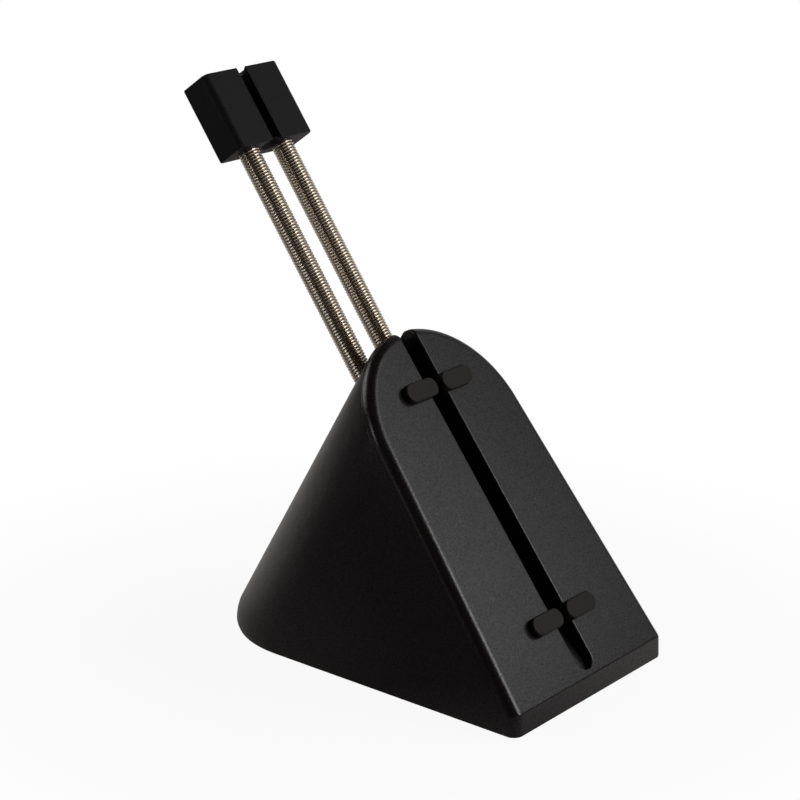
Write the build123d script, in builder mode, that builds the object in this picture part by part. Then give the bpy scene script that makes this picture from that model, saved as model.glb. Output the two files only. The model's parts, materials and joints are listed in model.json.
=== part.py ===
from build123d import *
import os
from math import acos, atan2, cos, hypot, radians, sin, tan

# Sizes in millimetres, angles in degrees.
# The wedge stands on its feet, leans its arm towards -Y and shows its slope towards +Y.

# Outline of the slope face and the wedge under it
foot_w = 70.0
arch_r = 30.2
slope_l = 105.55
slope_deg = 53.3
rule_deg = 59.3
cover_t = 3.6
edge_r = 2.8
rear_edge_r = 1.5
wall = 2.4
band_h = 4.2
band_blend_r = 8.0
tuck_h = 1.4
tuck_deg = 34.0
rear_y = 64.03
seam = 0.2

# Cable channel down the slope
slot_w = 6.4
slot_depth = 7.0
slot_end = 2.0
slot_end_depth = 2.3
slot_ramp_l = 26.0
trough_wall = 1.5
lip_t = 1.5
lip_h = 2.2

# Rubber cable grips
grip_l = 12.9
grip_h = 5.4
grip_rise = 2.0
grip_gap = 2.6
grip_round = 0.5
upper_grip_in = 17.85
lower_grip_in = 17.8
stem_l = 6.0
stem_h = 2.8
stem_in = 6.6
flange_over = 0.7
flange_t = 1.2
plug_fit = 0.05

# Base plate, feet and ballast
foot_proud = 0.6
base_t = 2.6
foot_r = 6.0
foot_sink = 1.0
rear_foot_in = (10.0, 14.0)
front_foot_in = (13.2, 22.3)
ballast_w = 44.0
ballast_l = 50.0
ballast_h = 10.0
ballast_in = 48.3
ballast_screw_gap = 26.0

# Screws
screw_r = 1.25
screw_l = 9.0
screw_head_r = 2.4
screw_head_t = 1.4
screw_room = 0.15
thread_fit = 0.03
boss_r = 3.0
front_boss_x = 9.0
front_boss_in = 11.3
front_boss_top = 17.0
rear_boss_in = (18.0, 19.0)

# Arm: two close-wound springs
arm_in = 5.55
arm_depth = 14.85
arm_deg = 54.75
spring_gap = 14.0
spring_od = 6.2
wire_d = 0.85
turns_per_rib = 3
rib_sink = 0.4
exposed = 69.2
hole_room = 0.4
socket_fit = 0.05

# Clamp that grips the springs inside the wedge
clamp_top = -11.0
clamp_l = 16.0
clamp_half = 4.6
clamp_w = 32.0
clamp_screw_x = 12.6
clamp_screw_l = 14.0
peg_flange_r = 3.35
peg_flange_t = 1.5
peg_stand = 3.0

# Head
head_w = 30.5
head_h = 22.7
head_back = 5.9
head_front = 4.1
head_edge_r = 2.2
head_trim_r = 0.5
head_lip_r = 0.85
head_bore = 12.0
slit_w = 3.1
slit_seat_r = 1.9
slit_depth = 5.2
flare_r = 3.4
flare_depth = 1.5

# The straight sides run from the foot's corners and meet the arch as tangents
arc_u = slope_l - arch_r
taper_a = acos(arch_r / hypot(foot_w / 2, arc_u)) - atan2(arc_u, foot_w / 2)
slope_a = radians(slope_deg)
rule_a = radians(rule_deg)
arm_a = radians(arm_deg)

slope_normal = Vector(0, sin(slope_a), cos(slope_a))
rule = Vector(0, -cos(rule_a), -sin(rule_a))
along = Vector(0, -cos(arm_a), sin(arm_a))
arm_normal = Vector(0, sin(arm_a), cos(arm_a))

slope = Plane(
    origin=(0, rear_y, foot_proud + cover_t / cos(slope_a)),
    x_dir=(-1, 0, 0),
    z_dir=slope_normal,
)
under = slope.offset(-cover_t)
rear = Plane(origin=(0, rear_y, 0), x_dir=(1, 0, 0), z_dir=(0, 1, 0))
band_top = foot_proud + band_h
base_top = foot_proud + base_t

# The front wall turns upright near the floor in short ruled steps round a blend radius
lean_a = radians(90 - rule_deg)
blend_step = band_blend_r * lean_a / 2
blend_leans = (lean_a * 2 / 3, lean_a / 3)
blend_top = band_top + band_blend_r * tan(lean_a / 2) * cos(lean_a)
blend_low = blend_top - blend_step * sum(cos(lean) for lean in blend_leans)
tuck_a = radians(tuck_deg)
reach = 2 * foot_w

# Foremost line of the front wall, where it would meet the band
crown = under.from_local_coords((0, slope_l, 0))
front_y = crown.Y - (crown.Z - band_top) / tan(rule_a)
ballast_y = front_y + ballast_in

# Arm frame: X across, Y out of the slope side, Z up along the springs
arm_zero = slope.from_local_coords((0, slope_l - arm_in, -arm_depth))
arm = Plane(origin=arm_zero, x_dir=(1, 0, 0), z_dir=along)
spring_r = spring_od / 2
spring_bore_r = spring_r - wire_d
spring_x = spring_gap / 2
upper_grip_u = slope_l - upper_grip_in
clamp_low = clamp_top - clamp_l
peg_seat = clamp_low + peg_flange_t
clamp_middle = arm.from_local_coords((0, 0, (clamp_top + clamp_low) / 2))
clamp_face = Plane(origin=clamp_middle, x_dir=(1, 0, 0), z_dir=arm_normal)
clamp_screw_spots = [(clamp_screw_x, 0), (-clamp_screw_x, 0)]
spring_spots = [(spring_x, 0), (-spring_x, 0)]

# Places across the base: feet and the screws from below
front_foot_x = arch_r - front_foot_in[0]
rear_foot_x = foot_w / 2 - rear_foot_in[0]
rear_boss_x = foot_w / 2 - rear_boss_in[0]
foot_spots = [
    (front_foot_x, front_y + front_foot_in[1]),
    (-front_foot_x, front_y + front_foot_in[1]),
    (rear_foot_x, rear_y - rear_foot_in[1]),
    (-rear_foot_x, rear_y - rear_foot_in[1]),
]
front_screw_spots = [(front_boss_x, front_y + front_boss_in), (-front_boss_x, front_y + front_boss_in)]
rear_screw_spots = [(rear_boss_x, rear_y - rear_boss_in[1]), (-rear_boss_x, rear_y - rear_boss_in[1])]
base_screw_spots = front_screw_spots + rear_screw_spots
ballast_screw_spots = [(0, ballast_y - ballast_screw_gap / 2), (0, ballast_y + ballast_screw_gap / 2)]


def arch(inset, low):
    """Tapered arch of the slope face, drawn in from its edge by inset."""
    r = arch_r - inset
    x_t = r * cos(taper_a)
    u_t = arc_u + r * sin(taper_a)
    x_low = x_t + (u_t - low) * tan(taper_a)
    with BuildSketch() as outline:
        with BuildLine():
            Polyline((x_t, u_t), (x_low, low), (-x_low, low), (-x_t, u_t))
            ThreePointArc((-x_t, u_t), (0, arc_u + r), (x_t, u_t))
        make_face()
    return outline.sketch


outer_arch = arch(0, -reach / 2)
inner_arch = arch(wall, -reach / 2)
lip_arch = arch(wall + seam, -reach / 2)
lip_inner_arch = arch(wall + seam + lip_t, -reach / 2)

# Hollow of the wedge, leaving the two front screw bosses standing
with BuildPart() as hollow:
    with BuildSketch(under):
        add(inner_arch)
    extrude(amount=reach, dir=rule, both=True)
    split(bisect_by=Plane.XY.offset(band_top), keep=Keep.TOP)
    extrude(hollow.faces().sort_by(Axis.Z)[0], amount=band_top)
    with BuildSketch(Plane.XY.offset(base_top)):
        with Locations(*front_screw_spots):
            Circle(boss_r)
    extrude(amount=front_boss_top - base_top, mode=Mode.SUBTRACT)

# Space inside the seam clearance, for the base plate and the cover's inner parts
with BuildPart() as room:
    with BuildSketch(under):
        add(lip_arch)
    extrude(amount=reach, dir=rule, both=True)
    split(bisect_by=Plane.XY.offset(band_top), keep=Keep.TOP)
    extrude(room.faces().sort_by(Axis.Z)[0], amount=band_top)

# Front shell: a ruled wall that runs from the arch down to the floor
with BuildPart() as front_shell:
    with BuildSketch(under):
        add(outer_arch)
    extrude(amount=reach, dir=rule, both=True)
    split(bisect_by=Plane.XY.offset(blend_top), keep=Keep.TOP)
    for lean in blend_leans:
        extrude(front_shell.faces().sort_by(Axis.Z)[0], amount=blend_step, dir=(0, -sin(lean), -cos(lean)))
    extrude(front_shell.faces().sort_by(Axis.Z)[0], amount=blend_low - foot_proud - tuck_h)
    for lean in (tuck_a / 2, tuck_a):
        extrude(
            front_shell.faces().sort_by(Axis.Z)[0],
            amount=tuck_h / 2 / cos(lean),
            dir=(0, sin(lean), -cos(lean)),
        )
    add(hollow.part, mode=Mode.SUBTRACT)
    split(bisect_by=under, keep=Keep.BOTTOM)
    with BuildSketch(Plane.XY):
        with Locations((0, rear_y)):
            Rectangle(2 * foot_w, 2 * edge_r)
        with Locations((0, rear_y)):
            RectangleRounded(foot_w, 2 * foot_w, edge_r, align=(Align.CENTER, Align.MAX), mode=Mode.SUBTRACT)
    extrude(amount=band_top, mode=Mode.SUBTRACT)
    with BuildSketch(slope):
        with Locations((0, arc_u)):
            Rectangle(slot_w, arch_r + wall, align=(Align.CENTER, Align.MIN))
    extrude(amount=-slot_depth, mode=Mode.SUBTRACT)
    with BuildSketch(arm.offset(-wall * 4)):
        with Locations(*spring_spots):
            Circle(spring_r + hole_room)
    extrude(amount=wall * 8, mode=Mode.SUBTRACT)
    with BuildSketch(Plane.XY.offset(base_top)):
        with Locations(*front_screw_spots):
            Circle(screw_r + thread_fit)
    extrude(amount=screw_l, mode=Mode.SUBTRACT)

# Space for the cable: full depth at the crown, running out on a ramp at the low end
ramp_foot = slope.from_local_coords((0, slot_end, -slot_end_depth))
ramp_top = slope.from_local_coords((0, slot_end + slot_ramp_l, -slot_depth))
ramp = Plane(origin=ramp_foot, x_dir=(1, 0, 0), z_dir=(ramp_top - ramp_foot).cross(Vector(1, 0, 0)))
with BuildPart() as channel:
    with BuildSketch(slope):
        with Locations((0, slot_end + slot_w / 2)):
            Circle(slot_w / 2)
            Rectangle(slot_w, arc_u + arch_r, align=(Align.CENTER, Align.MIN))
    extrude(amount=-slot_depth)
    split(bisect_by=ramp, keep=Keep.TOP)

# Channel moulded under the cover: a trough that ends inside the shell's crown
with BuildPart() as trough:
    with BuildSketch(under):
        with Locations((0, slot_end + slot_w / 2)):
            Circle(slot_w / 2 + trough_wall)
            Rectangle(slot_w + 2 * trough_wall, arc_u + arch_r, align=(Align.CENTER, Align.MIN))
    extrude(amount=-(slot_depth + trough_wall - cover_t))
    split(bisect_by=Plane.XY.offset(base_top + seam), keep=Keep.TOP)
    add(room.part, mode=Mode.INTERSECT)

# Locating lip round the inside of the shell's rim
with BuildPart() as lip:
    with BuildSketch(under):
        add(lip_arch)
        add(lip_inner_arch, mode=Mode.SUBTRACT)
        with Locations((0, slot_end + slot_w)):
            Rectangle(reach, reach, align=(Align.CENTER, Align.MAX), mode=Mode.SUBTRACT)
    extrude(amount=lip_h / sin(slope_a + rule_a), dir=rule)

# Rear screw bosses and clamp bosses under the cover
with BuildPart() as cover_bosses:
    with BuildSketch(Plane.XY.offset(base_top)):
        with Locations(*rear_screw_spots):
            Circle(boss_r)
    extrude(amount=foot_w)
    with BuildSketch(clamp_face.offset(clamp_half)):
        with Locations(*clamp_screw_spots):
            Circle(boss_r)
    extrude(amount=arm_depth)
    split(bisect_by=slope.offset(-cover_t / 2), keep=Keep.BOTTOM)

# Back cover: the sloping plate with its rounded edge, channel and bosses
with BuildPart() as back_cover:
    with BuildSketch(slope):
        add(outer_arch)
    extrude(amount=-cover_t)
    split(bisect_by=rear, keep=Keep.BOTTOM)
    face_edges = back_cover.faces().sort_by(Axis(slope.origin, slope_normal))[-1].edges()
    rim = face_edges.sort_by(Axis.Z)[1:]
    corners = back_cover.faces().sort_by(Axis.Y)[-1].edges().filter_by(Axis.X, reverse=True)
    fillet(rim + corners, radius=edge_r)
    rear_edge = back_cover.faces().sort_by(Axis.Y)[-1].edges().filter_by(Axis.X).sort_by(Axis.Z)[-1]
    fillet(rear_edge, radius=rear_edge_r)
    add(lip.part)
    add(trough.part)
    add(cover_bosses.part)
    add(channel.part, mode=Mode.SUBTRACT)
    with BuildSketch(slope):
        with Locations(
            (stem_in + stem_l / 2, upper_grip_u),
            (-stem_in - stem_l / 2, upper_grip_u),
            (stem_in + stem_l / 2, lower_grip_in),
            (-stem_in - stem_l / 2, lower_grip_in),
        ):
            SlotOverall(stem_l + 2 * plug_fit, stem_h + 2 * plug_fit)
    extrude(amount=-cover_t, mode=Mode.SUBTRACT)
    with BuildSketch(Plane.XY.offset(base_top)):
        with Locations(*rear_screw_spots):
            Circle(screw_r + thread_fit)
    extrude(amount=screw_l, mode=Mode.SUBTRACT)
    with BuildSketch(clamp_face.offset(clamp_half)):
        with Locations(*clamp_screw_spots):
            Circle(screw_r + thread_fit)
    extrude(amount=clamp_screw_l - 2 * clamp_half, mode=Mode.SUBTRACT)

# Base plate: closes the wedge from below and carries the feet and the ballast
with BuildPart() as base_plate:
    with BuildSketch(Plane.XY.offset(foot_proud)):
        Rectangle(2 * foot_w, 2 * reach)
    extrude(amount=base_t)
    add(room.part, mode=Mode.INTERSECT)
    split(bisect_by=under.offset(-seam), keep=Keep.BOTTOM)
    with BuildSketch(Plane.XY.offset(foot_proud)):
        with Locations(*foot_spots):
            Circle(foot_r + plug_fit)
    extrude(amount=foot_sink, mode=Mode.SUBTRACT)
    with BuildSketch(Plane.XY.offset(foot_proud)):
        with Locations(*base_screw_spots, *ballast_screw_spots):
            Circle(screw_head_r + screw_room)
    extrude(amount=screw_head_t + screw_room, mode=Mode.SUBTRACT)
    with BuildSketch(Plane.XY.offset(foot_proud)):
        with Locations(*base_screw_spots, *ballast_screw_spots):
            Circle(screw_r + screw_room)
    extrude(amount=base_t, mode=Mode.SUBTRACT)


def foot(spot):
    """Round rubber pad let into the base plate."""
    with BuildPart() as pad:
        with BuildSketch(Plane.XY):
            with Locations(spot):
                Circle(foot_r)
        extrude(amount=foot_proud + foot_sink)
        chamfer(pad.edges().sort_by(Axis.Z)[0], length=foot_proud / 2)
    return pad.part


def screws(spots, seat, length):
    """Pan-head screws driven upwards, heads against the seat plane."""
    with BuildPart() as group:
        with BuildSketch(seat):
            with Locations(*spots):
                Circle(screw_head_r)
        extrude(amount=-screw_head_t)
        with BuildSketch(seat):
            with Locations(*spots):
                Circle(screw_r)
        extrude(amount=length)
        with BuildSketch(seat.offset(-screw_head_t)):
            with Locations(*spots):
                Rectangle(screw_head_r * 1.2, screw_r * 0.4)
                Rectangle(screw_r * 0.4, screw_head_r * 1.2)
        extrude(amount=screw_head_t / 2, mode=Mode.SUBTRACT)
    return group.part


screw_seat = Plane.XY.offset(foot_proud + screw_head_t + screw_room)
base_screws = screws(base_screw_spots, screw_seat, screw_l)
ballast_screws = screws(ballast_screw_spots, screw_seat, screw_l)

# Ballast: a flat steel block screwed down on the base plate
with BuildPart() as ballast:
    with BuildSketch(Plane.XY.offset(base_top)):
        with Locations((0, ballast_y)):
            RectangleRounded(ballast_w, ballast_l, edge_r)
    extrude(amount=ballast_h)
    chamfer(ballast.faces().sort_by(Axis.Z)[-1].edges(), length=foot_proud)
    with BuildSketch(Plane.XY.offset(base_top)):
        with Locations(*ballast_screw_spots):
            Circle(screw_r + thread_fit)
    extrude(amount=screw_l, mode=Mode.SUBTRACT)


def grip(side, u):
    """Raised rubber pad over the edge of the channel, with its stem and flange."""
    middle = -side * (grip_gap / 2 + grip_l / 2)
    root = -side * (stem_in + stem_l / 2)
    with BuildPart() as pad:
        with BuildSketch(slope):
            with Locations((middle, u)):
                SlotOverall(grip_l, grip_h)
        extrude(amount=grip_rise)
        fillet(pad.faces().sort_by(Axis(slope.origin, slope_normal))[-1].edges(), radius=grip_round)
        with BuildSketch(slope):
            with Locations((root, u)):
                SlotOverall(stem_l, stem_h)
        extrude(amount=-cover_t)
        with BuildSketch(under):
            with Locations((root, u)):
                SlotOverall(stem_l + 2 * flange_over, stem_h + 2 * flange_over)
        extrude(amount=-flange_t)
    return pad.part


def clamp_half_block(side):
    """Half of the spring clamp, on the slope side (+1) or the front side (-1)."""
    with BuildPart() as block:
        with BuildSketch(clamp_face):
            RectangleRounded(clamp_w, clamp_l, edge_r / 2)
        extrude(amount=side * clamp_half)
        with BuildSketch(arm.offset(peg_seat)):
            with Locations(*spring_spots):
                Circle(spring_r + socket_fit)
        extrude(amount=clamp_l, mode=Mode.SUBTRACT)
        with BuildSketch(arm.offset(peg_seat)):
            with Locations(*spring_spots):
                Circle(peg_flange_r + socket_fit)
        extrude(amount=-clamp_l, mode=Mode.SUBTRACT)
        with BuildSketch(clamp_face):
            with Locations(*clamp_screw_spots):
                Circle(screw_r + screw_room)
        extrude(amount=side * clamp_half, mode=Mode.SUBTRACT)
    return block.part


spring_holder = clamp_half_block(1)
spring_clamp = clamp_half_block(-1)
clamp_screws = screws(clamp_screw_spots, clamp_face.offset(-clamp_half), clamp_screw_l)


def spring(side):
    """Close-wound spring: a ribbed sleeve, each rib standing for a few turns of wire."""
    ribs = round(exposed / (wire_d * turns_per_rib))
    pitch = exposed / ribs
    foot_s = peg_seat + socket_fit
    top_s = exposed + head_bore - socket_fit
    outline = [(spring_bore_r, foot_s), (spring_r, foot_s), (spring_r, 0)]
    for k in range(ribs):
        outline.append((spring_r - rib_sink, (k + 0.5) * pitch))
        outline.append((spring_r, (k + 1) * pitch))
    outline += [(spring_r, top_s), (spring_bore_r, top_s)]
    start = arm.from_local_coords((side * spring_x, 0, 0))
    with BuildPart() as sleeve:
        with BuildSketch(Plane(origin=start, x_dir=(1, 0, 0), z_dir=-arm_normal)):
            with BuildLine():
                Polyline(*outline, close=True)
            make_face()
        revolve(axis=Axis(start, along))
    return sleeve.part


def peg(side, seat_s, way, stand):
    """Flanged pin inside one end of a spring; way is +1 up the arm, -1 down it."""
    spot = (side * spring_x, 0)
    with BuildPart() as pin:
        with BuildSketch(arm.offset(seat_s)):
            with Locations(spot):
                Circle(peg_flange_r)
        extrude(amount=-way * peg_flange_t)
        with BuildSketch(arm.offset(seat_s)):
            with Locations(spot):
                Circle(spring_bore_r - socket_fit)
        extrude(amount=way * stand)
    return pin.part


# Head: a soft block with a flared cable slit in its slope side, moulded over the upper pegs
head_low = arm.offset(exposed)
head_seat = exposed + head_bore
seat_y = head_back - slit_depth + slit_seat_r
with BuildPart() as head:
    with BuildSketch(head_low):
        with Locations((0, (head_back - head_front) / 2)):
            Rectangle(head_w, head_back + head_front)
    extrude(amount=head_h)
    uprights = head.edges().filter_by(Axis(arm_zero, along)).sort_by(Axis(arm_zero, arm_normal))
    fillet(uprights[-2:], radius=head_edge_r)
    uprights = head.edges().filter_by(Axis(arm_zero, along)).sort_by(Axis(arm_zero, arm_normal))
    chamfer(uprights[:2], length=head_trim_r)
    with BuildSketch(head_low):
        with Locations((0, head_back)):
            Rectangle(slit_w, 2 * (head_back - seat_y))
        with Locations((0, seat_y)):
            Circle(slit_seat_r)
    extrude(amount=head_h, mode=Mode.SUBTRACT)
    uprights = head.edges().filter_by(Axis(arm_zero, along)).sort_by(Axis(arm_zero, arm_normal))
    lips = uprights.filter_by_position(Axis.X, -slit_w, slit_w)[-2:]
    fillet(lips, radius=head_lip_r)
    for end, way in ((head_low, 1), (head_low.offset(head_h), -1)):
        with BuildSketch(end):
            with Locations((0, seat_y)):
                Circle(flare_r)
        extrude(amount=way * flare_depth, taper=45, mode=Mode.SUBTRACT)
    with BuildSketch(head_low):
        with Locations(*spring_spots):
            Circle(spring_r + socket_fit)
    extrude(amount=head_bore, mode=Mode.SUBTRACT)
    with BuildSketch(arm.offset(head_seat)):
        with Locations(*spring_spots):
            Circle(peg_flange_r)
    extrude(amount=peg_flange_t, mode=Mode.SUBTRACT)

pieces = {
    "front_shell": front_shell.part,
    "back_cover": back_cover.part,
    "base_plate": base_plate.part,
    "ballast": ballast.part,
    "head": head.part,
    "spring_holder": spring_holder,
    "spring_clamp": spring_clamp,
    "left_spring": spring(1),
    "right_spring": spring(-1),
    "left_lower_peg": peg(1, peg_seat, 1, clamp_l - peg_flange_t + peg_stand),
    "right_lower_peg": peg(-1, peg_seat, 1, clamp_l - peg_flange_t + peg_stand),
    "left_upper_peg": peg(1, head_seat, -1, head_bore - peg_stand),
    "right_upper_peg": peg(-1, head_seat, -1, head_bore - peg_stand),
    "upper_left_grip": grip(1, upper_grip_u),
    "upper_right_grip": grip(-1, upper_grip_u),
    "lower_left_grip": grip(1, lower_grip_in),
    "lower_right_grip": grip(-1, lower_grip_in),
    "front_left_foot": foot(foot_spots[0]),
    "front_right_foot": foot(foot_spots[1]),
    "rear_left_foot": foot(foot_spots[2]),
    "rear_right_foot": foot(foot_spots[3]),
    "base_screws": base_screws,
    "ballast_screws": ballast_screws,
    "clamp_screws": clamp_screws,
}

os.makedirs("parts", exist_ok=True)
for label, piece in pieces.items():
    piece.label = label
    export_step(piece, f"parts/{label}.step")
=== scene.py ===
import json
from math import atan2, cos, hypot, pi, radians, sin

import bmesh
import bpy
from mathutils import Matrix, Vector


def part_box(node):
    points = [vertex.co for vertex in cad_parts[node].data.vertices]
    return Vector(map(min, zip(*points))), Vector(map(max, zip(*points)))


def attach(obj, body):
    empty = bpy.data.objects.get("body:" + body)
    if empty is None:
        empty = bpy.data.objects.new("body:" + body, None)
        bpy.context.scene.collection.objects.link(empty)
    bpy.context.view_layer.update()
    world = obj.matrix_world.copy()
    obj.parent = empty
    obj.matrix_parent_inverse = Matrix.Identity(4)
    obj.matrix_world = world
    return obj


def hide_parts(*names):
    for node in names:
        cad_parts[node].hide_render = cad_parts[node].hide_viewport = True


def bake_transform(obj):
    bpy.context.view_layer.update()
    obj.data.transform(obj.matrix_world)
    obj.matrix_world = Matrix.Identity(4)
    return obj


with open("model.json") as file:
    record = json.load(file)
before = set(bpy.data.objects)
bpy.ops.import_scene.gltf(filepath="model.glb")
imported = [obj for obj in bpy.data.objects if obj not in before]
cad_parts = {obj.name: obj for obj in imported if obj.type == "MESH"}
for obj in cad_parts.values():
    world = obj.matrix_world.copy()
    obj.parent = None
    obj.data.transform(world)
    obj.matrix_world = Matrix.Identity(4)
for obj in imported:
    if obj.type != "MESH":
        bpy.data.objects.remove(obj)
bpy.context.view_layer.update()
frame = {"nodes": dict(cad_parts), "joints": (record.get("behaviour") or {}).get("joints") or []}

# Base plate: a flat lid of black ABS that closes the wedge from below.
# Injection moulded, plain matt face, held by four screws and carrying the feet and the ballast.
mm = 0.001
merge_gap = 0.001 * mm
flat_angle = radians(0.05)
crease = radians(30)


def linear(code):
    """An sRGB hex colour as the linear colour that a socket takes."""
    parts = [int(code[i:i + 2], 16) / 255 for i in (1, 3, 5)]
    return [p / 12.92 if p <= 0.04045 else ((p + 0.055) / 1.055) ** 2.4 for p in parts] + [1]


def add_node(tree, kind, settings, *links):
    """Adds a node: settings by input or attribute, links as (source socket, input)."""
    node = tree.nodes.new(kind)
    for key, value in settings.items():
        if isinstance(key, int) or key in node.inputs:
            node.inputs[key].default_value = value
        else:
            setattr(node, key, value)
    for source, key in links:
        tree.links.new(source, node.inputs[key])
    return node


def new_finish(name):
    """An empty material and its node tree."""
    finish = bpy.data.materials.new(name)
    finish.use_nodes = True
    finish.node_tree.nodes.clear()
    return finish, finish.node_tree


def paint(piece, finish):
    """Puts one finish on all of a piece, or on a CAD node's own slots."""
    if not piece.material_slots:
        piece.data.materials.append(finish)
    for held in piece.material_slots:
        held.material = finish


def pick(piece):
    """Makes a piece the only selected and active object."""
    bpy.ops.object.select_all(action="DESELECT")
    piece.select_set(True)
    bpy.context.view_layer.objects.active = piece


def merged_copy(node, name):
    """A copy of a CAD node to finish by hand: its triangles merged, its flat faces whole."""
    piece = bpy.data.objects.new(name, frame["nodes"][node].data.copy())
    bpy.context.scene.collection.objects.link(piece)
    piece.data.materials.clear()
    pick(piece)
    bpy.ops.mesh.customdata_custom_splitnormals_clear()
    bpy.ops.object.mode_set(mode="EDIT")
    bpy.ops.mesh.select_all(action="SELECT")
    bpy.ops.mesh.remove_doubles(threshold=merge_gap)
    bpy.ops.mesh.dissolve_limited(angle_limit=flat_angle)
    bpy.ops.object.mode_set(mode="OBJECT")
    return piece


def smooth(piece, angle):
    """Smooth shading between faces that meet at less than angle, flat faces kept flat."""
    pick(piece)
    bpy.ops.object.shade_smooth_by_angle(angle=angle)
    even = piece.modifiers.new("even_shading", "WEIGHTED_NORMAL")
    even.keep_sharp = True
    bpy.ops.object.modifier_apply(modifier=even.name)


# Black ABS straight from a plain mould.
# Gives the eye a low sheen that dulls a little in patches.
plain_abs, tree = new_finish("moulded_abs_plain")
patch_size = 3 * mm
place = add_node(tree, "ShaderNodeTexCoord", {})
patches = add_node(
    tree, "ShaderNodeTexNoise", {"Scale": 1 / patch_size, "Detail": 4.0}, (place.outputs["Object"], "Vector")
)
dulling = add_node(
    tree, "ShaderNodeMapRange", {"To Min": 0.42, "To Max": 0.6}, (patches.outputs["Fac"], "Value")
)
tint = add_node(
    tree, "ShaderNodeMix", {"data_type": "RGBA", 6: linear("#1d1d1e"), 7: linear("#242425")},
    (patches.outputs["Fac"], 0),
)
skin = add_node(
    tree, "ShaderNodeBsdfPrincipled", {"IOR": 1.5, "Specular IOR Level": 0.25},
    (tint.outputs[2], "Base Color"), (dulling.outputs["Result"], "Roughness"),
)
add_node(tree, "ShaderNodeOutputMaterial", {}, (skin.outputs["BSDF"], "Surface"))

lid = merged_copy("base_plate", "base_lid")
smooth(lid, crease)
paint(lid, plain_abs)
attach(lid, "base")
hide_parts("base_plate")

# Feet: four round pads of black rubber, pressed into shallow seats in the base plate.
# Die-cut from calendered sheet, so the face has a fine even stipple and the edge is broken.
# Gives the eye a dead black disc: next to no shine, and a stipple that breaks up what there is.
foot_rubber, tree = new_finish("calendered_rubber")
stipple_size = 0.5 * mm
dust_size = 2 * mm
place = add_node(tree, "ShaderNodeTexCoord", {})
stipple = add_node(
    tree, "ShaderNodeTexVoronoi", {"Scale": 1 / stipple_size}, (place.outputs["Object"], "Vector")
)
dust = add_node(
    tree, "ShaderNodeTexNoise", {"Scale": 1 / dust_size, "Detail": 3.0}, (place.outputs["Object"], "Vector")
)
tint = add_node(
    tree, "ShaderNodeMix", {"data_type": "RGBA", 6: linear("#191919"), 7: linear("#262524")},
    (dust.outputs["Fac"], 0),
)
relief = add_node(
    tree, "ShaderNodeBump", {"Strength": 0.5, "Distance": 0.05 * mm}, (stipple.outputs["Distance"], "Height")
)
skin = add_node(
    tree, "ShaderNodeBsdfPrincipled", {"Roughness": 0.8, "IOR": 1.52, "Specular IOR Level": 0.2},
    (tint.outputs[2], "Base Color"), (relief.outputs["Normal"], "Normal"),
)
add_node(tree, "ShaderNodeOutputMaterial", {}, (skin.outputs["BSDF"], "Surface"))
for corner in ("front_left", "front_right", "rear_left", "rear_right"):
    pad = merged_copy(f"{corner}_foot", f"{corner}_pad")
    smooth(pad, crease)
    paint(pad, foot_rubber)
    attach(pad, "base")
    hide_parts(f"{corner}_foot")

# Ballast: a block cut from flat steel bar that lies on the base plate and keeps the stand from tipping.
# Bare sawn steel under a thin grey oxide, with its top edges broken; it can't be seen from outside.
# Gives the eye a dull grey metal with rows of saw marks that catch the light.
bar_steel, tree = new_finish("sawn_steel_bar")
saw_pitch = 0.8 * mm
# A wave texture of scale 1 repeats every pi / 10.
wave_length = pi / 10
place = add_node(tree, "ShaderNodeTexCoord", {})
saw_marks = add_node(
    tree, "ShaderNodeTexWave", {"bands_direction": "Y", "Scale": wave_length / saw_pitch, "Distortion": 3.0},
    (place.outputs["Object"], "Vector"),
)
scale_grey = add_node(
    tree, "ShaderNodeMix", {"data_type": "RGBA", 6: linear("#6f6f70"), 7: linear("#8a8a8b")},
    (saw_marks.outputs["Fac"], 0),
)
relief = add_node(
    tree, "ShaderNodeBump", {"Strength": 0.4, "Distance": 0.03 * mm}, (saw_marks.outputs["Fac"], "Height")
)
skin = add_node(
    tree, "ShaderNodeBsdfPrincipled", {"Metallic": 1.0, "Roughness": 0.5},
    (scale_grey.outputs[2], "Base Color"), (relief.outputs["Normal"], "Normal"),
)
add_node(tree, "ShaderNodeOutputMaterial", {}, (skin.outputs["BSDF"], "Surface"))
paint(frame["nodes"]["ballast"], bar_steel)

# Screws: pan-head steel screws with a cross recess, zinc plated, cold headed and rolled.
# Four hold the base plate from below, two the ballast and two the spring clamp.
# Gives the eye a cool pale metal, a little cloudy, that stands out from the black lid.
zinc, tree = new_finish("zinc_plated_steel")
spangle_size = 0.4 * mm
place = add_node(tree, "ShaderNodeTexCoord", {})
spangle = add_node(
    tree, "ShaderNodeTexNoise", {"Scale": 1 / spangle_size, "Detail": 3.0},
    (place.outputs["Object"], "Vector"),
)
plating = add_node(
    tree, "ShaderNodeMix", {"data_type": "RGBA", 6: linear("#a9adb2"), 7: linear("#c4c6c8")},
    (spangle.outputs["Fac"], 0),
)
cloud = add_node(
    tree, "ShaderNodeMapRange", {"To Min": 0.22, "To Max": 0.4}, (spangle.outputs["Fac"], "Value")
)
skin = add_node(
    tree, "ShaderNodeBsdfPrincipled", {"Metallic": 1.0},
    (plating.outputs[2], "Base Color"), (cloud.outputs["Result"], "Roughness"),
)
add_node(tree, "ShaderNodeOutputMaterial", {}, (skin.outputs["BSDF"], "Surface"))
for group in ("base_screws", "ballast_screws", "clamp_screws"):
    paint(frame["nodes"][group], zinc)

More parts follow.
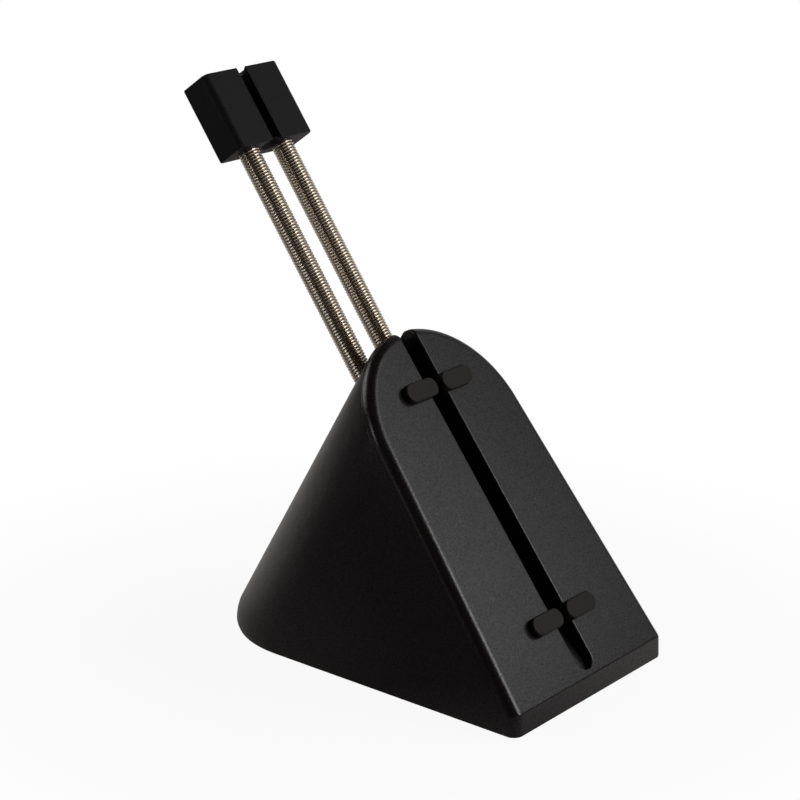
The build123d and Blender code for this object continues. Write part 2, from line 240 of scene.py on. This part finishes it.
# Front shell: the moulded wall that runs from the arch down to the round foot, in black ABS.
# Injection moulded in a spark-eroded tool, which leaves a fine even grain all over.
# Two of the base screws draw it down onto the plate.
slope_angle = radians(53.3)
rear_y = 64.03 * mm
foot_proud = 0.6 * mm
cover_depth = 3.6 * mm
slope_foot = Vector((0, rear_y, foot_proud + cover_depth / cos(slope_angle)))
slope_up = Vector((0, -cos(slope_angle), sin(slope_angle)))
slope_out = Vector((0, sin(slope_angle), cos(slope_angle)))
arch_r = 30.2 * mm
arch_u = 75.35 * mm
side_taper = 0.063
corner_up = 8 * mm
edge_reach = 1.2 * mm
on_line = 0.05 * mm
seam_round = 0.25 * mm
sharp_angle = radians(40)
# Gives the eye a satin black: grey and finely speckled where it mirrors a lamp, near black elsewhere.
# The real grain, about 0.1 mm, is finer than a pixel, so it is drawn coarser.
spark_abs, tree = new_finish("moulded_abs_spark_grain")
grain_size = 0.45 * mm
flow_size = 12 * mm
place = add_node(tree, "ShaderNodeTexCoord", {})
grain = add_node(
    tree, "ShaderNodeTexNoise", {"Scale": 1 / grain_size, "Detail": 1.0, "Roughness": 0.6},
    (place.outputs["Object"], "Vector"),
)
flow = add_node(
    tree, "ShaderNodeTexNoise", {"Scale": 1 / flow_size, "Detail": 2.0}, (place.outputs["Object"], "Vector")
)
tint = add_node(
    tree, "ShaderNodeMix", {"data_type": "RGBA", 6: linear("#0f0d0e"), 7: linear("#272224")},
    (grain.outputs["Fac"], 0),
)
dulling = add_node(
    tree, "ShaderNodeMapRange", {"To Min": 0.25, "To Max": 0.31}, (flow.outputs["Fac"], "Value")
)
relief = add_node(
    tree, "ShaderNodeBump", {"Strength": 0.3, "Distance": 0.03 * mm}, (grain.outputs["Fac"], "Height")
)
glint = add_node(
    tree, "ShaderNodeMapRange", {"From Min": 0.3, "From Max": 0.7, "To Min": 0.33, "To Max": 0.67},
    (grain.outputs["Fac"], "Value"),
)
skin = add_node(
    tree, "ShaderNodeBsdfPrincipled", {"IOR": 1.5},
    (tint.outputs[2], "Base Color"), (dulling.outputs["Result"], "Roughness"),
    (glint.outputs["Result"], "Specular IOR Level"), (relief.outputs["Normal"], "Normal"),
)
add_node(tree, "ShaderNodeOutputMaterial", {}, (skin.outputs["BSDF"], "Surface"))


def on_seam(point):
    """True on the outer edge where the cover meets the shell, above the rear corners."""
    up = (point - slope_foot).dot(slope_up)
    deep = -(point - slope_foot).dot(slope_out)
    reach = hypot(point.x, max(up - arch_u, 0)) - max(arch_u - up, 0) * side_taper
    return abs(deep - cover_depth) < on_line and reach > arch_r - edge_reach and up > corner_up


def round_edges(piece, chosen, width, segments):
    """Bevels the sharp edges whose middle point is chosen."""
    pick(piece)
    bpy.ops.object.mode_set(mode="EDIT")
    bpy.ops.mesh.select_mode(type="EDGE")
    bpy.ops.mesh.select_all(action="DESELECT")
    mesh = bmesh.from_edit_mesh(piece.data)
    for edge in mesh.edges:
        sharp = len(edge.link_faces) == 2 and edge.calc_face_angle() > sharp_angle
        edge.select_set(sharp and chosen((edge.verts[0].co + edge.verts[1].co) / 2))
    bmesh.update_edit_mesh(piece.data)
    bpy.ops.mesh.bevel(offset=width, segments=segments, affect="EDGES", clamp_overlap=False)
    bpy.ops.object.mode_set(mode="OBJECT")


shell = merged_copy("front_shell", "shell_moulding")
round_edges(shell, on_seam, width=seam_round, segments=2)
smooth(shell, crease)
paint(shell, spark_abs)
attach(shell, "base")
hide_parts("front_shell")

# Back cover: the sloping plate with its rounded rim and the cable channel, in the same grained ABS.
# It is moulded in one with its trough and bosses and drops into the rim of the front shell.
slot_half = 3.2 * mm
slot_round = 0.6 * mm
slot_line = 0.02 * mm
rim_deep = 2.9 * mm
rim_up = 95 * mm


def on_slot(point):
    """True on the edge of the cable channel in the cover's face and where it runs out over the rim."""
    up = (point - slope_foot).dot(slope_up)
    deep = -(point - slope_foot).dot(slope_out)
    in_face = abs(deep) < on_line and abs(point.x) < slot_half + on_line
    over_rim = abs(abs(point.x) - slot_half) < slot_line and deep < rim_deep and up > rim_up
    return in_face or over_rim


cover = merged_copy("back_cover", "cover_moulding")
round_edges(cover, on_seam, width=seam_round, segments=2)
round_edges(cover, on_slot, width=slot_round, segments=4)
smooth(cover, crease)
paint(cover, spark_abs)
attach(cover, "base")
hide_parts("back_cover")

# Cable grips: four soft pads that reach over the channel in pairs and hold the cable down.
# Moulded silicone rubber, pulled through oval holes in the cover until their flanges snap behind it.
# Gives the eye a warm black, duller than the plastic around it, with a faint bloom.
grip_rubber, tree = new_finish("moulded_silicone")
bloom_size = 1.2 * mm
pad_crease = radians(35)
place = add_node(tree, "ShaderNodeTexCoord", {})
bloom = add_node(
    tree, "ShaderNodeTexNoise", {"Scale": 1 / bloom_size, "Detail": 4.0}, (place.outputs["Object"], "Vector")
)
tint = add_node(
    tree, "ShaderNodeMix", {"data_type": "RGBA", 6: linear("#1c1816"), 7: linear("#25201d")},
    (bloom.outputs["Fac"], 0),
)
skin = add_node(
    tree, "ShaderNodeBsdfPrincipled", {"Roughness": 0.5, "IOR": 1.43, "Specular IOR Level": 0.32},
    (tint.outputs[2], "Base Color"),
)
add_node(tree, "ShaderNodeOutputMaterial", {}, (skin.outputs["BSDF"], "Surface"))
for spot in ("upper_left", "upper_right", "lower_left", "lower_right"):
    pad = merged_copy(f"{spot}_grip", f"{spot}_pad")
    smooth(pad, pad_crease)
    paint(pad, grip_rubber)
    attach(pad, "base")
    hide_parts(f"{spot}_grip")

# Spring clamp: two ABS blocks inside the wedge that close on the lower ends of the springs.
# Plain mouldings, drawn together by the clamp screws against bosses behind the cover; hidden.
for half in ("spring_holder", "spring_clamp"):
    paint(frame["nodes"][half], plain_abs)

# Pegs: flanged pins that fill the ends of the springs, so that the clamp and the head can't crush them.
# Turned from steel rod; fine turning marks run round the pin.
# Gives the eye a grey metal with fine rings; they are drawn coarser than the real feed of 0.1 mm.
turned_steel, tree = new_finish("turned_steel")
feed = 0.3 * mm
place = add_node(tree, "ShaderNodeTexCoord", {})
turning = add_node(
    tree, "ShaderNodeTexWave", {"bands_direction": "Z", "Scale": wave_length / feed},
    (place.outputs["Object"], "Vector"),
)
sheen = add_node(
    tree, "ShaderNodeMapRange", {"To Min": 0.25, "To Max": 0.4}, (turning.outputs["Fac"], "Value")
)
skin = add_node(
    tree, "ShaderNodeBsdfPrincipled", {"Metallic": 1.0, "Base Color": linear("#b4b3b1")},
    (sheen.outputs["Result"], "Roughness"),
)
add_node(tree, "ShaderNodeOutputMaterial", {}, (skin.outputs["BSDF"], "Surface"))
for end in ("left_lower", "right_lower", "left_upper", "right_upper"):
    paint(frame["nodes"][f"{end}_peg"], turned_steel)

# Springs: the arm's two close-wound springs, which bend to let the cable move.
# Coiled cold from round spring wire and nickel plated bright; the turns touch at rest.
wire_r = 0.39 * mm
coil_r = 2.71 * mm
coil_pitch = 0.8615 * mm
lower_turns = 69
upper_turns = 53
wire_sides = 10
turn_steps = 32
wire_crease = radians(50)
# Gives the eye a warm bright metal: each turn shows a white streak and a brown-black gap to the next.
nickel, tree = new_finish("nickel_plated_spring_wire")
draw_size = 0.3 * mm
place = add_node(tree, "ShaderNodeTexCoord", {})
drawing = add_node(
    tree, "ShaderNodeTexNoise", {"Scale": 1 / draw_size, "Detail": 3.0}, (place.outputs["Object"], "Vector")
)
plating = add_node(
    tree, "ShaderNodeMix", {"data_type": "RGBA", 6: linear("#dacebe"), 7: linear("#ece2d3")},
    (drawing.outputs["Fac"], 0),
)
haze = add_node(
    tree, "ShaderNodeMapRange", {"To Min": 0.15, "To Max": 0.24}, (drawing.outputs["Fac"], "Value")
)
skin = add_node(
    tree, "ShaderNodeBsdfPrincipled", {"Metallic": 1.0},
    (plating.outputs[2], "Base Color"), (haze.outputs["Result"], "Roughness"),
)
add_node(tree, "ShaderNodeOutputMaterial", {}, (skin.outputs["BSDF"], "Surface"))

nod, sway = (Vector(joint["pos_m"]) for joint in frame["joints"])
arm_line = (sway - nod).normalized()
arm_lean = atan2(-arm_line.y, arm_line.z)


def coil(name, turns, across, start):
    """A run of touching turns about the arm's line, from start along it."""
    bpy.ops.object.select_all(action="DESELECT")
    bpy.ops.mesh.primitive_circle_add(
        vertices=wire_sides, radius=wire_r, fill_type="NGON",
        location=(coil_r, 0, 0), rotation=(pi / 2, 0, 0),
    )
    piece = bpy.context.active_object
    piece.name = name
    piece.data.name = name
    bpy.ops.object.transform_apply()
    winding = piece.modifiers.new("winding", "SCREW")
    winding.axis = "Z"
    winding.angle = 2 * pi
    winding.screw_offset = coil_pitch
    winding.iterations = turns
    winding.steps = turn_steps
    winding.render_steps = turn_steps
    bpy.ops.object.modifier_apply(modifier=winding.name)
    piece.location = Vector((across, nod.y, nod.z)) + arm_line * start
    piece.rotation_euler = (arm_lean, 0, 0)
    bpy.ops.object.transform_apply()
    bpy.ops.object.mode_set(mode="EDIT")
    bpy.ops.mesh.select_all(action="SELECT")
    bpy.ops.mesh.remove_doubles(threshold=merge_gap)
    bpy.ops.mesh.normals_make_consistent(inside=False)
    bpy.ops.object.mode_set(mode="OBJECT")
    bpy.ops.object.shade_smooth_by_angle(angle=wire_crease)
    return piece


for side in ("left", "right"):
    node = frame["nodes"][f"{side}_spring"]
    low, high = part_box(f"{side}_spring")
    across = (low.x + high.x) / 2
    foot = min((v.co - nod).dot(arm_line) for v in node.data.vertices) + wire_r
    middle = foot + lower_turns * coil_pitch
    lower = coil(f"{side}_spring_lower", lower_turns, across, foot)
    upper = coil(f"{side}_spring_upper", upper_turns, across, middle)
    for piece in (lower, upper):
        paint(piece, nickel)
        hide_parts(f"{side}_spring")
    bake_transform(lower)
    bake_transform(upper)

# Head: a soft block with a slit that holds the cable, moulded over the upper pegs.
# Black thermoplastic rubber with a smooth satin skin.
# Gives the eye a neutral matt black, lit evenly on each face.
soft_rubber, tree = new_finish("moulded_thermoplastic_rubber")
skin_size = 0.7 * mm
place = add_node(tree, "ShaderNodeTexCoord", {})
skin_noise = add_node(
    tree, "ShaderNodeTexNoise", {"Scale": 1 / skin_size, "Detail": 2.0}, (place.outputs["Object"], "Vector")
)
tint = add_node(
    tree, "ShaderNodeMix", {"data_type": "RGBA", 6: linear("#1c1c1d"), 7: linear("#242425")},
    (skin_noise.outputs["Fac"], 0),
)
relief = add_node(
    tree, "ShaderNodeBump", {"Strength": 0.15, "Distance": 0.02 * mm}, (skin_noise.outputs["Fac"], "Height")
)
skin = add_node(
    tree, "ShaderNodeBsdfPrincipled", {"Roughness": 0.5, "IOR": 1.5, "Specular IOR Level": 0.16},
    (tint.outputs[2], "Base Color"), (relief.outputs["Normal"], "Normal"),
)
add_node(tree, "ShaderNodeOutputMaterial", {}, (skin.outputs["BSDF"], "Surface"))
free_length = 69.2 * mm
nod_up = 17 * mm
head_height = 22.7 * mm
head_low = free_length - nod_up
head_high = head_low + head_height
head_line = 0.02 * mm
head_round = 0.35 * mm
spring_x = 7 * mm
bore_reach = 3.3 * mm
arm_out = Vector((0, arm_line.z, -arm_line.y))


def on_head_end(point):
    """True on the outline, the slit and the flares of the head's two ends, not on the spring bores."""
    along = (point - nod).dot(arm_line)
    at_end = min(abs(along - head_low), abs(along - head_high)) < head_line
    out = (point - nod).dot(arm_out)
    in_bore = any(hypot(point.x - x, out) < bore_reach for x in (-spring_x, spring_x))
    return at_end and not in_bore


head = merged_copy("head", "head_block")
round_edges(head, on_head_end, width=head_round, segments=2)
smooth(head, crease)
paint(head, soft_rubber)
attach(head, "head")
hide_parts("head")

# Studio: a white laminate table that runs on as a white backdrop, a large soft box up to the right
# and three smaller ones. The room on the camera's side is unlit, which bright metal shows as dark bands.
floor_half = 3.0
pool_half = (0.24, 0.44)
pool_middle = (-0.09, -0.34)
slope_heading = (-0.8, 0.6, 0)
left_spot = (0.58, -0.24, 0)
back_heading = (0.15, -0.86, 0.48)
right_heading = (-0.93, -0.25, 0.25)
bpy.ops.object.select_all(action="DESELECT")
bpy.ops.mesh.primitive_plane_add(size=2 * floor_half)
floor = bpy.context.active_object
floor.name = "floor"
# Gives the eye a plain white ground with a faint shadow. Mirrored in the object it shows a painted
# reflection instead:
# bright in a painted pool of light behind the stand, beside the slope and far out on the left, and dim
# elsewhere, where painted shade stands in for the object's own shadow and the dark room.
white_table, tree = new_finish("white_table")
rays = add_node(tree, "ShaderNodeLightPath", {})
mirrored = add_node(
    tree, "ShaderNodeMath", {"operation": "MAXIMUM"},
    (rays.outputs["Is Glossy Ray"], 0), (rays.outputs["Is Transmission Ray"], 1),
)
place = add_node(tree, "ShaderNodeTexCoord", {})
away = add_node(tree, "ShaderNodeVectorMath", {"operation": "LENGTH"}, (place.outputs["Object"], 0))
# A painted pool of light behind the stand, seen only in reflections of the table.
pool_place = add_node(
    tree, "ShaderNodeMapping",
    {
        "Scale": (1 / pool_half[0], 1 / pool_half[1], 1),
        "Location": (-pool_middle[0] / pool_half[0], -pool_middle[1] / pool_half[1], 0),
    },
    (place.outputs["Object"], "Vector"),
)
pool_reach = add_node(tree, "ShaderNodeVectorMath", {"operation": "LENGTH"}, (pool_place.outputs[0], 0))
pool = add_node(
    tree, "ShaderNodeMapRange",
    {"interpolation_type": "SMOOTHSTEP", "From Min": 0.55, "From Max": 1.1, "To Min": 0.58, "To Max": 0.0},
    (pool_reach.outputs["Value"], "Value"),
)
slope_way = add_node(
    tree, "ShaderNodeVectorMath", {"operation": "DOT_PRODUCT", 1: slope_heading},
    (place.outputs["Object"], 0),
)
slope_side = add_node(
    tree, "ShaderNodeMapRange", {"interpolation_type": "SMOOTHSTEP", "From Min": -0.06, "From Max": 0.16},
    (slope_way.outputs["Value"], "Value"),
)
lit = add_node(
    tree, "ShaderNodeMath", {"operation": "MAXIMUM"}, (pool.outputs[0], 0), (slope_side.outputs[0], 1)
)
left_way = add_node(
    tree, "ShaderNodeVectorMath", {"operation": "DISTANCE", 1: left_spot}, (place.outputs["Object"], 0)
)
left_side = add_node(
    tree, "ShaderNodeMapRange",
    {"interpolation_type": "SMOOTHSTEP", "From Min": 0.12, "From Max": 0.4, "To Min": 0.9, "To Max": 0.0},
    (left_way.outputs["Value"], "Value"),
)
lit = add_node(
    tree, "ShaderNodeMath", {"operation": "MAXIMUM"}, (lit.outputs[0], 0), (left_side.outputs[0], 1)
)
# Painted reflection: the tone that glossy rays see on the table, light in the painted pools and dark as
# painted shade elsewhere.
painted_reflection_tone = add_node(
    tree, "ShaderNodeMix", {"data_type": "RGBA", 6: linear("#3a3634"), 7: linear("#d2cfcc")},
    (lit.outputs[0], 0),
)
share = add_node(
    tree, "ShaderNodeMapRange",
    {"interpolation_type": "SMOOTHSTEP", "From Min": 0.06, "From Max": 0.2, "To Min": 0.93, "To Max": 1.0},
    (away.outputs["Value"], "Value"),
)
shown = add_node(
    tree, "ShaderNodeMath", {"operation": "MULTIPLY"},
    (rays.outputs["Is Camera Ray"], 0), (share.outputs[0], 1),
)
matt = add_node(tree, "ShaderNodeBsdfDiffuse", {"Color": linear("#f4f4f4")})
glow = add_node(tree, "ShaderNodeEmission", {"Color": (1, 1, 1, 1), "Strength": 1.0})
table = add_node(
    tree, "ShaderNodeMixShader", {}, (shown.outputs[0], 0), (matt.outputs[0], 1), (glow.outputs[0], 2)
)
# Painted reflection: the table glows with that painted tone for glossy and transmission rays.
painted_table_reflection = add_node(tree, "ShaderNodeEmission", {"Strength": 1.0}, (painted_reflection_tone.outputs[2], "Color"))
both = add_node(
    tree, "ShaderNodeMixShader", {},
    (mirrored.outputs[0], 0), (table.outputs[0], 1), (painted_table_reflection.outputs[0], 2),
)
add_node(tree, "ShaderNodeOutputMaterial", {}, (both.outputs[0], "Surface"))
paint(floor, white_table)

# Backdrop: white to the eye. Mirrored, it is bright behind the arm, pale on the right and dark elsewhere.
studio = bpy.data.worlds.new("studio")
bpy.context.scene.world = studio
studio.use_nodes = True
tree = studio.node_tree
tree.nodes.clear()
rays = add_node(tree, "ShaderNodeLightPath", {})
heading = add_node(tree, "ShaderNodeTexCoord", {})
behind = add_node(
    tree, "ShaderNodeVectorMath", {"operation": "DOT_PRODUCT", 1: back_heading},
    (heading.outputs["Generated"], 0),
)
lit_back = add_node(
    tree, "ShaderNodeMapRange", {"interpolation_type": "SMOOTHSTEP", "From Min": 0.9, "From Max": 0.96},
    (behind.outputs["Value"], "Value"),
)
beside = add_node(
    tree, "ShaderNodeVectorMath", {"operation": "DOT_PRODUCT", 1: right_heading},
    (heading.outputs["Generated"], 0),
)
lit_right = add_node(
    tree, "ShaderNodeMapRange",
    {"interpolation_type": "SMOOTHSTEP", "From Min": 0.82, "From Max": 0.95, "To Max": 0.4},
    (beside.outputs["Value"], "Value"),
)
lit = add_node(
    tree, "ShaderNodeMath", {"operation": "MAXIMUM"}, (lit_back.outputs[0], 0), (lit_right.outputs[0], 1)
)
room = add_node(
    tree, "ShaderNodeMix", {"data_type": "RGBA", 6: linear("#241b12"), 7: (1, 1, 1, 1)}, (lit.outputs[0], 0)
)
shown = add_node(
    tree, "ShaderNodeMix", {"data_type": "RGBA", 7: (1, 1, 1, 1)},
    (rays.outputs["Is Camera Ray"], 0), (room.outputs[2], 6),
)
seen = add_node(
    tree, "ShaderNodeMath", {"operation": "MAXIMUM"},
    (rays.outputs["Is Camera Ray"], 0), (rays.outputs["Is Glossy Ray"], 1),
)
seen = add_node(
    tree, "ShaderNodeMath", {"operation": "MAXIMUM"},
    (seen.outputs[0], 0), (rays.outputs["Is Transmission Ray"], 1),
)
backdrop = add_node(tree, "ShaderNodeBackground", {"Strength": 1.0}, (shown.outputs[2], "Color"))
ambient = add_node(tree, "ShaderNodeBackground", {"Strength": 0.3}, (room.outputs[2], "Color"))
both = add_node(
    tree, "ShaderNodeMixShader", {}, (seen.outputs[0], 0), (ambient.outputs[0], 1), (backdrop.outputs[0], 2)
)
add_node(tree, "ShaderNodeOutputWorld", {}, (both.outputs[0], "Surface"))

# Soft boxes: square lamps behind white cloth, all at one distance and out of the picture.
lamp_distance = 0.75
lamp_aim = Vector((0, 0, 0.07))


def soft_box(name, heading, size, watts):
    """A square area lamp in that direction from the middle of the object, facing it."""
    heading = Vector(heading).normalized()
    bpy.ops.object.select_all(action="DESELECT")
    bpy.ops.object.light_add(
        type="AREA",
        location=lamp_aim + heading * lamp_distance,
        rotation=heading.to_track_quat("Z", "Y").to_euler(),
    )
    lamp = bpy.context.active_object
    lamp.name = name
    lamp.data.shape = "SQUARE"
    lamp.data.size = size
    lamp.data.energy = watts
    lamp.visible_camera = False


soft_box("key_box", heading=(-0.48, 0.66, 0.57), size=0.5, watts=1.18)
soft_box("low_box", heading=(-0.22, 0.85, 0.47), size=0.28, watts=1.2)
soft_box("back_box", heading=back_heading, size=0.45, watts=0.5)
soft_box("left_box", heading=(0.87, -0.44, 0.28), size=0.16, watts=0.32)

# Camera: a long lens a little above the stand, behind its slope and to the left.
# Its place and lens were fitted to the outline of the wedge, the springs and the head.
eye = (0.509563, 0.394352, 0.270329)
eye_down = radians(17.212)
eye_turn = radians(127.775)
lens_length = 111.33
bpy.ops.object.select_all(action="DESELECT")
bpy.ops.object.camera_add(location=eye, rotation=(pi / 2 - eye_down, 0, eye_turn))
camera = bpy.context.active_object
camera.data.sensor_width = 36
camera.data.lens = lens_length
camera.data.clip_start = 0.01
bpy.context.scene.camera = camera
bpy.context.scene.view_settings.view_transform = "Standard"
